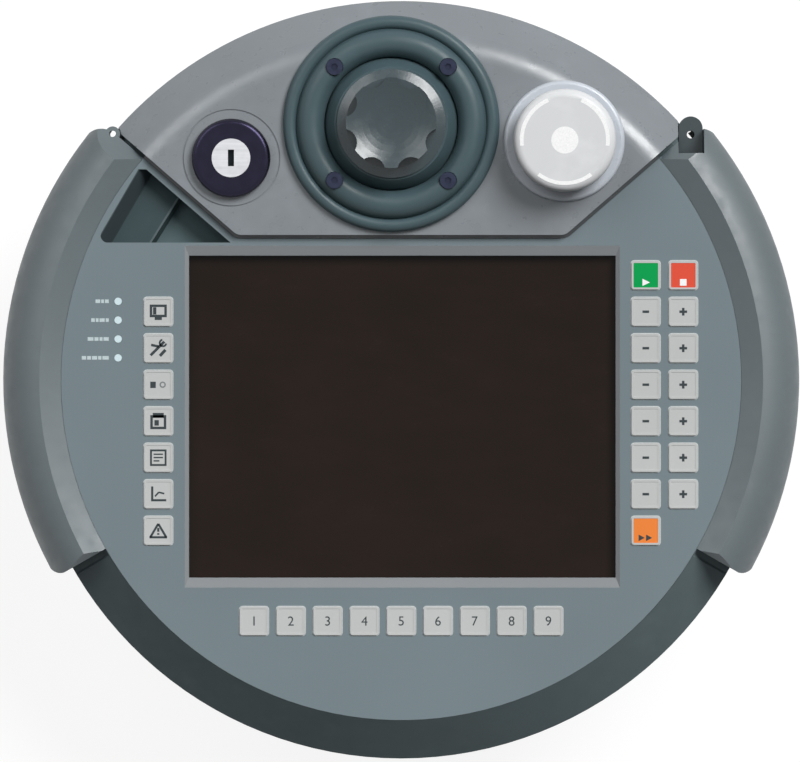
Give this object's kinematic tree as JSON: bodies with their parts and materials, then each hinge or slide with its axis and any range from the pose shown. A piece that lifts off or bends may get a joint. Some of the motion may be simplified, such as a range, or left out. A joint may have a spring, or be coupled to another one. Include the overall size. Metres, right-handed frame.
{
  "type": "teach pendant",
  "caption": "Round handheld operator panel with touch display, membrane keys, joystick, key switch and stop button on a ring handle.",
  "frame": {"origin": "on the desk under the middle of the round housing, where the flat foot of the ring handle rests", "axes": "+Z out of the display, +Y to the top of the display, +X to its right"},
  "size_m": [0.29, 0.276, 0.1208],
  "materials": {
    "shell_plastic": "fine moulded texture",
    "grip_plastic": "soft satin",
    "cover_plastic": "satin",
    "panel_film": "matt film",
    "seal_rubber": "matt",
    "screw_steel": "plated",
    "screw_dark": "blackened",
    "circuit_board": "solder resist",
    "screen_glass": "dark, lightly glossy",
    "module_metal": "plain",
    "light_window": "clear window",
    "handle_plastic": "moulded texture",
    "enable_rubber": "matt",
    "switch_plastic": "plain",
    "gland_plastic": "plain",
    "stylus_plastic": "satin",
    "lock_bezel": "satin",
    "lock_metal": "satin nickel",
    "stop_plastic": "satin",
    "joystick_plastic": "satin",
    "knob_plastic": "soft satin",
    "key_grey": "embossed film",
    "key_green": "embossed film",
    "key_red": "embossed film",
    "key_orange": "embossed film"
  },
  "bodies": {
    "housing": {"rear_shell": "shell_plastic", "front_shell": "shell_plastic", "housing_seal": "seal_rubber", "housing_screws": "screw_steel", "side_grips": "grip_plastic", "control_cover": "cover_plastic", "keypad_panel": "panel_film", "keypad_board": "circuit_board", "touch_screen": "screen_glass", "display_module": "module_metal", "main_board": "circuit_board", "status_lights": "light_window", "handle": "handle_plastic", "enable_switches": "switch_plastic", "cable_gland": "gland_plastic", "key_switch_body": "lock_bezel", "stop_housing": "cover_plastic", "joystick_base": "switch_plastic", "joystick_ring": "joystick_plastic", "joystick_screws": "screw_dark"},
    "enable_left": {"enable_button_left": "enable_rubber"},
    "enable_right": {"enable_button_right": "enable_rubber"},
    "joystick_yoke": {"joystick_gimbal": "module_metal"},
    "joystick_lever": {"joystick_stick": "joystick_plastic"},
    "joystick_grip": {"joystick_knob": "knob_plastic"},
    "key_barrel": {"key_switch_barrel": "lock_metal"},
    "stop_plunger": {"stop_stem": "switch_plastic"},
    "stop_head": {"stop_button": "stop_plastic"},
    "stylus_pen": {"stylus": "stylus_plastic"},
    "key_left_1_cap": {"key_left_1": "key_grey"},
    "key_left_2_cap": {"key_left_2": "key_grey"},
    "key_left_3_cap": {"key_left_3": "key_grey"},
    "key_left_4_cap": {"key_left_4": "key_grey"},
    "key_left_5_cap": {"key_left_5": "key_grey"},
    "key_left_6_cap": {"key_left_6": "key_grey"},
    "key_left_7_cap": {"key_left_7": "key_grey"},
    "key_minus_1_cap": {"key_minus_1": "key_grey"},
    "key_plus_1_cap": {"key_plus_1": "key_grey"},
    "key_minus_2_cap": {"key_minus_2": "key_grey"},
    "key_plus_2_cap": {"key_plus_2": "key_grey"},
    "key_minus_3_cap": {"key_minus_3": "key_grey"},
    "key_plus_3_cap": {"key_plus_3": "key_grey"},
    "key_minus_4_cap": {"key_minus_4": "key_grey"},
    "key_plus_4_cap": {"key_plus_4": "key_grey"},
    "key_minus_5_cap": {"key_minus_5": "key_grey"},
    "key_plus_5_cap": {"key_plus_5": "key_grey"},
    "key_minus_6_cap": {"key_minus_6": "key_grey"},
    "key_plus_6_cap": {"key_plus_6": "key_grey"},
    "key_green_cap": {"key_green": "key_green"},
    "key_red_cap": {"key_red": "key_red"},
    "key_orange_cap": {"key_orange": "key_orange"},
    "key_number_1_cap": {"key_number_1": "key_grey"},
    "key_number_2_cap": {"key_number_2": "key_grey"},
    "key_number_3_cap": {"key_number_3": "key_grey"},
    "key_number_4_cap": {"key_number_4": "key_grey"},
    "key_number_5_cap": {"key_number_5": "key_grey"},
    "key_number_6_cap": {"key_number_6": "key_grey"},
    "key_number_7_cap": {"key_number_7": "key_grey"},
    "key_number_8_cap": {"key_number_8": "key_grey"},
    "key_number_9_cap": {"key_number_9": "key_grey"}
  },
  "joints": [
    {"name": "enable_left_press", "type": "slide", "parent": "housing", "child": "enable_left", "axis": [1, 0, 0], "range_m": [0, 0.004], "stiffness_N_per_m": 2500},
    {"name": "enable_right_press", "type": "slide", "parent": "housing", "child": "enable_right", "axis": [-1, 0, 0], "range_m": [0, 0.004], "stiffness_N_per_m": 2500},
    {"name": "joystick_tilt_x", "type": "hinge", "parent": "housing", "child": "joystick_yoke", "pos_m": [-0.0036, 0.0929, 0.092], "axis": [1, 0, 0], "range_deg": [-12, 12], "stiffness_Nm_per_rad": 0.5},
    {"name": "joystick_tilt_y", "type": "hinge", "parent": "joystick_yoke", "child": "joystick_lever", "pos_m": [-0.0036, 0.0929, 0.092], "axis": [0, 1, 0], "range_deg": [-12, 12], "stiffness_Nm_per_rad": 0.5},
    {"name": "joystick_twist", "type": "hinge", "parent": "joystick_lever", "child": "joystick_grip", "pos_m": [-0.0036, 0.0929, 0.092], "axis": [0, 0, 1], "range_deg": [-15, 15], "stiffness_Nm_per_rad": 0.2},
    {"name": "key_switch_turn", "type": "hinge", "parent": "housing", "child": "key_barrel", "pos_m": [-0.0617, 0.0805, 0.101], "axis": [0, 0, 1], "range_deg": [-45, 45]},
    {"name": "stop_press", "type": "slide", "parent": "housing", "child": "stop_plunger", "axis": [0, 0, -1], "range_m": [0, 0.005], "stiffness_N_per_m": 3000},
    {"name": "stop_release_twist", "type": "hinge", "parent": "stop_plunger", "child": "stop_head", "pos_m": [0.0591, 0.0867, 0.101], "axis": [0, 0, -1], "range_deg": [0, 45], "stiffness_Nm_per_rad": 0.1},
    {"name": "stylus_slide", "type": "slide", "parent": "housing", "child": "stylus_pen", "axis": [0, 1, 0], "range_m": [0, 0.115]},
    {"name": "touch_key_left_1", "type": "slide", "parent": "housing", "child": "key_left_1_cap", "axis": [0, 0, -1], "range_m": [0, 0.0004], "stiffness_N_per_m": 4000},
    {"name": "touch_key_left_2", "type": "slide", "parent": "housing", "child": "key_left_2_cap", "axis": [0, 0, -1], "range_m": [0, 0.0004], "stiffness_N_per_m": 4000},
    {"name": "touch_key_left_3", "type": "slide", "parent": "housing", "child": "key_left_3_cap", "axis": [0, 0, -1], "range_m": [0, 0.0004], "stiffness_N_per_m": 4000},
    {"name": "touch_key_left_4", "type": "slide", "parent": "housing", "child": "key_left_4_cap", "axis": [0, 0, -1], "range_m": [0, 0.0004], "stiffness_N_per_m": 4000},
    {"name": "touch_key_left_5", "type": "slide", "parent": "housing", "child": "key_left_5_cap", "axis": [0, 0, -1], "range_m": [0, 0.0004], "stiffness_N_per_m": 4000},
    {"name": "touch_key_left_6", "type": "slide", "parent": "housing", "child": "key_left_6_cap", "axis": [0, 0, -1], "range_m": [0, 0.0004], "stiffness_N_per_m": 4000},
    {"name": "touch_key_left_7", "type": "slide", "parent": "housing", "child": "key_left_7_cap", "axis": [0, 0, -1], "range_m": [0, 0.0004], "stiffness_N_per_m": 4000},
    {"name": "touch_key_minus_1", "type": "slide", "parent": "housing", "child": "key_minus_1_cap", "axis": [0, 0, -1], "range_m": [0, 0.0004], "stiffness_N_per_m": 4000},
    {"name": "touch_key_plus_1", "type": "slide", "parent": "housing", "child": "key_plus_1_cap", "axis": [0, 0, -1], "range_m": [0, 0.0004], "stiffness_N_per_m": 4000},
    {"name": "touch_key_minus_2", "type": "slide", "parent": "housing", "child": "key_minus_2_cap", "axis": [0, 0, -1], "range_m": [0, 0.0004], "stiffness_N_per_m": 4000},
    {"name": "touch_key_plus_2", "type": "slide", "parent": "housing", "child": "key_plus_2_cap", "axis": [0, 0, -1], "range_m": [0, 0.0004], "stiffness_N_per_m": 4000},
    {"name": "touch_key_minus_3", "type": "slide", "parent": "housing", "child": "key_minus_3_cap", "axis": [0, 0, -1], "range_m": [0, 0.0004], "stiffness_N_per_m": 4000},
    {"name": "touch_key_plus_3", "type": "slide", "parent": "housing", "child": "key_plus_3_cap", "axis": [0, 0, -1], "range_m": [0, 0.0004], "stiffness_N_per_m": 4000},
    {"name": "touch_key_minus_4", "type": "slide", "parent": "housing", "child": "key_minus_4_cap", "axis": [0, 0, -1], "range_m": [0, 0.0004], "stiffness_N_per_m": 4000},
    {"name": "touch_key_plus_4", "type": "slide", "parent": "housing", "child": "key_plus_4_cap", "axis": [0, 0, -1], "range_m": [0, 0.0004], "stiffness_N_per_m": 4000},
    {"name": "touch_key_minus_5", "type": "slide", "parent": "housing", "child": "key_minus_5_cap", "axis": [0, 0, -1], "range_m": [0, 0.0004], "stiffness_N_per_m": 4000},
    {"name": "touch_key_plus_5", "type": "slide", "parent": "housing", "child": "key_plus_5_cap", "axis": [0, 0, -1], "range_m": [0, 0.0004], "stiffness_N_per_m": 4000},
    {"name": "touch_key_minus_6", "type": "slide", "parent": "housing", "child": "key_minus_6_cap", "axis": [0, 0, -1], "range_m": [0, 0.0004], "stiffness_N_per_m": 4000},
    {"name": "touch_key_plus_6", "type": "slide", "parent": "housing", "child": "key_plus_6_cap", "axis": [0, 0, -1], "range_m": [0, 0.0004], "stiffness_N_per_m": 4000},
    {"name": "touch_key_green", "type": "slide", "parent": "housing", "child": "key_green_cap", "axis": [0, 0, -1], "range_m": [0, 0.0004], "stiffness_N_per_m": 4000},
    {"name": "touch_key_red", "type": "slide", "parent": "housing", "child": "key_red_cap", "axis": [0, 0, -1], "range_m": [0, 0.0004], "stiffness_N_per_m": 4000},
    {"name": "touch_key_orange", "type": "slide", "parent": "housing", "child": "key_orange_cap", "axis": [0, 0, -1], "range_m": [0, 0.0004], "stiffness_N_per_m": 4000},
    {"name": "touch_key_number_1", "type": "slide", "parent": "housing", "child": "key_number_1_cap", "axis": [0, 0, -1], "range_m": [0, 0.0004], "stiffness_N_per_m": 4000},
    {"name": "touch_key_number_2", "type": "slide", "parent": "housing", "child": "key_number_2_cap", "axis": [0, 0, -1], "range_m": [0, 0.0004], "stiffness_N_per_m": 4000},
    {"name": "touch_key_number_3", "type": "slide", "parent": "housing", "child": "key_number_3_cap", "axis": [0, 0, -1], "range_m": [0, 0.0004], "stiffness_N_per_m": 4000},
    {"name": "touch_key_number_4", "type": "slide", "parent": "housing", "child": "key_number_4_cap", "axis": [0, 0, -1], "range_m": [0, 0.0004], "stiffness_N_per_m": 4000},
    {"name": "touch_key_number_5", "type": "slide", "parent": "housing", "child": "key_number_5_cap", "axis": [0, 0, -1], "range_m": [0, 0.0004], "stiffness_N_per_m": 4000},
    {"name": "touch_key_number_6", "type": "slide", "parent": "housing", "child": "key_number_6_cap", "axis": [0, 0, -1], "range_m": [0, 0.0004], "stiffness_N_per_m": 4000},
    {"name": "touch_key_number_7", "type": "slide", "parent": "housing", "child": "key_number_7_cap", "axis": [0, 0, -1], "range_m": [0, 0.0004], "stiffness_N_per_m": 4000},
    {"name": "touch_key_number_8", "type": "slide", "parent": "housing", "child": "key_number_8_cap", "axis": [0, 0, -1], "range_m": [0, 0.0004], "stiffness_N_per_m": 4000},
    {"name": "touch_key_number_9", "type": "slide", "parent": "housing", "child": "key_number_9_cap", "axis": [0, 0, -1], "range_m": [0, 0.0004], "stiffness_N_per_m": 4000}
  ]
}
